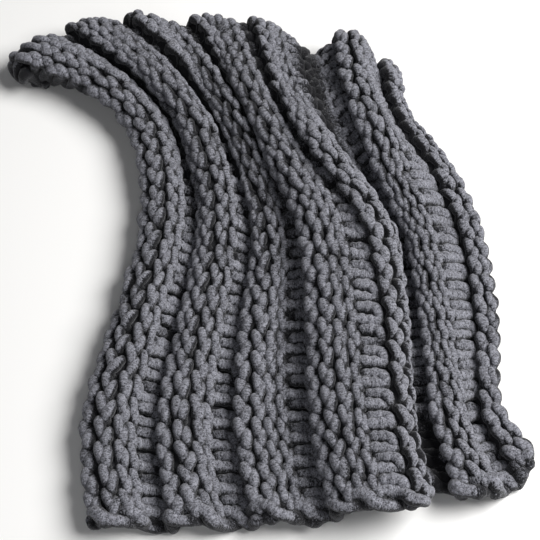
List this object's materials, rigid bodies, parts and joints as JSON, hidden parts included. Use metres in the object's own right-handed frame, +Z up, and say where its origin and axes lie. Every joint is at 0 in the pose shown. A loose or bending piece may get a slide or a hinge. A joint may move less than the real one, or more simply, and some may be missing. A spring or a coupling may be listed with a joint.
{
  "type": "chunky knit throw blanket",
  "caption": "Chunky knit throw blanket in broad ribs of thick chenille yarn, laid out in loose folds.",
  "frame": {"origin": "centre of the laid blanket's bounding box, on the floor it lies on", "axes": "+Z up, -Y towards the cast-on hem, +Y towards the turned-under far end, +X towards the flap that shows past the front layer's folded edge"},
  "size_m": [1.1568, 1.2754, 0.1514],
  "materials": {
    "chenille_yarn": "matt velvety charcoal grey"
  },
  "bodies": {
    "root": {"knit_panel": "chenille_yarn"}
  },
  "joints": []
}
